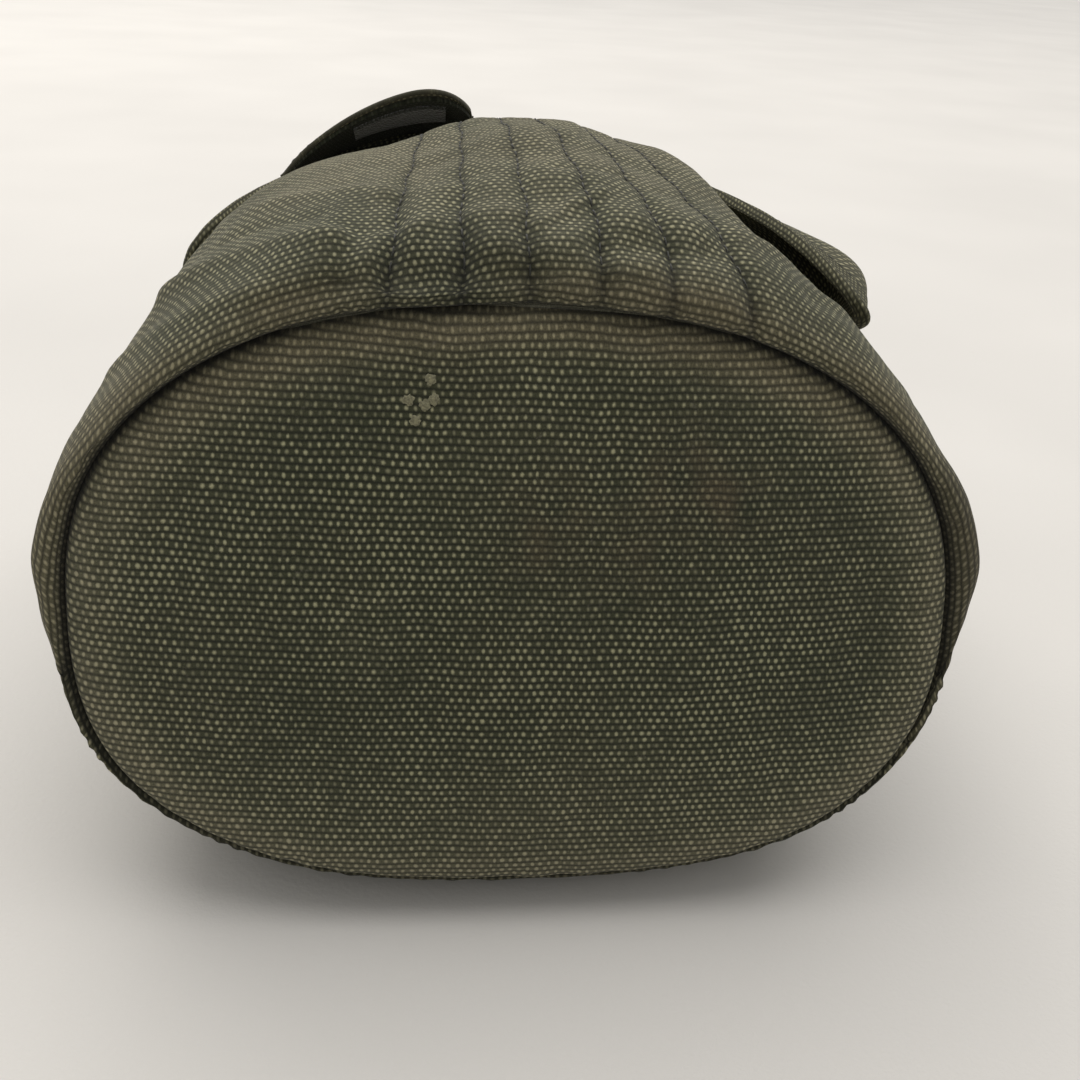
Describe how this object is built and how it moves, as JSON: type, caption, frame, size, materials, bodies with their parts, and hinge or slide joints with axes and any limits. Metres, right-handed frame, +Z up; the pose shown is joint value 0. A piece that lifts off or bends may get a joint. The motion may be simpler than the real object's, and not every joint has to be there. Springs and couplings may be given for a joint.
{
  "type": "camera bag",
  "caption": "Small oval bucket-shaped canvas bag lying on its back, with a padded hood lid, a curled closing tab, side rings and a sliding padded divider.",
  "frame": {"origin": "on the flat of the back wall that the bag lies on, halfway from the base seam to the mouth", "axes": "+Z up out of the back wall towards the front wall, +Y from the base towards the mouth, +X to the right when looking at the base"},
  "size_m": [0.1748, 0.1829, 0.1289],
  "materials": {
    "canvas": "coarse plain-woven cotton duck, olive drab, worn pale along the folds",
    "tape": "narrow woven cotton tape, dark olive",
    "webbing": "thick ribbed cotton webbing, olive",
    "lining": "brushed nylon, grey-olive, matt",
    "foam": "closed-cell polyethylene foam, dark grey",
    "board": "pressed fibre board, near black",
    "hook_and_loop": "hook-and-loop tape, very dark olive, napped",
    "ring_metal": "bent brass wire, dulled"
  },
  "bodies": {
    "shell": {"front_canvas": "canvas", "back_canvas": "canvas", "base_canvas": "canvas", "base_seam_tape": "tape", "side_seam_tapes": "tape", "base_board": "board", "base_foam": "foam", "base_lining": "lining", "wall_foam": "foam", "wall_lining": "lining", "mouth_binding": "tape", "wall_loop_patch": "hook_and_loop", "divider_loop_strips": "hook_and_loop", "left_ring_loop": "webbing", "right_ring_loop": "webbing", "lid_hinge_strip": "canvas"},
    "lid": {"lid_skirt": "canvas", "lid_skirt_binding": "tape", "lid_panel": "canvas", "lid_foam": "foam", "lid_lining": "lining", "tab_root": "canvas"},
    "tab": {"tab_canvas": "canvas", "tab_lining": "lining", "tab_hook_patch": "hook_and_loop"},
    "left_ring": {"left_d_ring": "ring_metal"},
    "right_ring": {"right_d_ring": "ring_metal"},
    "divider": {"divider_foam": "foam", "divider_cover": "lining", "divider_hook_strips": "hook_and_loop"}
  },
  "joints": [
    {"name": "lid_hinge", "type": "hinge", "parent": "shell", "child": "lid", "pos_m": [0, 0.0851, 0.003], "axis": [-1, 0, 0], "range_deg": [0, 80]},
    {"name": "tab_bend", "type": "hinge", "parent": "lid", "child": "tab", "pos_m": [-0.0315, 0.061, 0.1178], "axis": [-0.9429, 0, -0.333], "range_deg": [-8, 90]},
    {"name": "left_ring_swing", "type": "hinge", "parent": "shell", "child": "left_ring", "pos_m": [-0.0762, 0.045, 0.048], "axis": [0, 0, 1], "range_deg": [0, 140]},
    {"name": "right_ring_swing", "type": "hinge", "parent": "shell", "child": "right_ring", "pos_m": [0.0762, 0.045, 0.048], "axis": [0, 0, -1], "range_deg": [0, 140]},
    {"name": "divider_slide", "type": "slide", "parent": "shell", "child": "divider", "axis": [1, 0, 0], "range_m": [-0.012, 0.012]}
  ]
}
